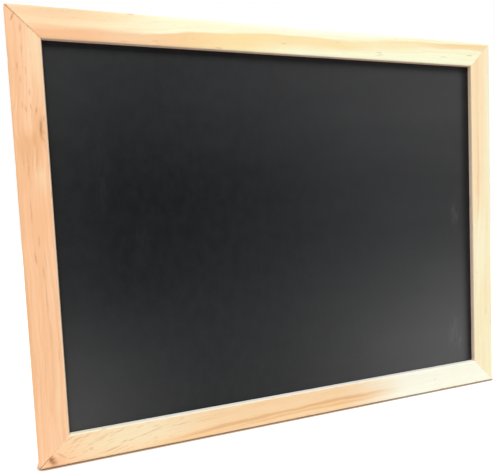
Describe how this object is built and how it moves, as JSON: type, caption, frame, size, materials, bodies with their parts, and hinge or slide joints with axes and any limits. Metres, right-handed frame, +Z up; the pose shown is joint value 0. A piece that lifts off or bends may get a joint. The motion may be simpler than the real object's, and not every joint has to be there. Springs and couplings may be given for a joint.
{
  "type": "slate writing board",
  "caption": "Framed slate writing board: a matt black chalk surface on hardboard, held in a mitred pine frame, with a sawtooth hanger on the back.",
  "frame": {"origin": "middle of the flat bottom edge that the board stands on, midway through the frame's thickness", "axes": "+X along the width, to the right for someone facing the writing side; +Y from the writing side to the back; +Z up"},
  "size_m": [0.33, 0.0144, 0.26],
  "materials": {
    "pine": "planed bare pine with eased edges",
    "writing_surface": "matt black chalk surface",
    "hardboard": "brown hardboard with a screen-pressed back",
    "zinc_steel": "zinc-plated steel"
  },
  "bodies": {
    "root": {"top_rail": "pine", "bottom_rail": "pine", "left_stile": "pine", "right_stile": "pine", "writing_sheet": "writing_surface", "backing_board": "hardboard", "top_left_v_nails": "zinc_steel", "top_right_v_nails": "zinc_steel", "bottom_left_v_nails": "zinc_steel", "bottom_right_v_nails": "zinc_steel", "top_panel_points": "zinc_steel", "bottom_panel_points": "zinc_steel", "left_panel_points": "zinc_steel", "right_panel_points": "zinc_steel", "sawtooth_hanger": "zinc_steel", "hanger_nails": "zinc_steel"}
  },
  "joints": []
}
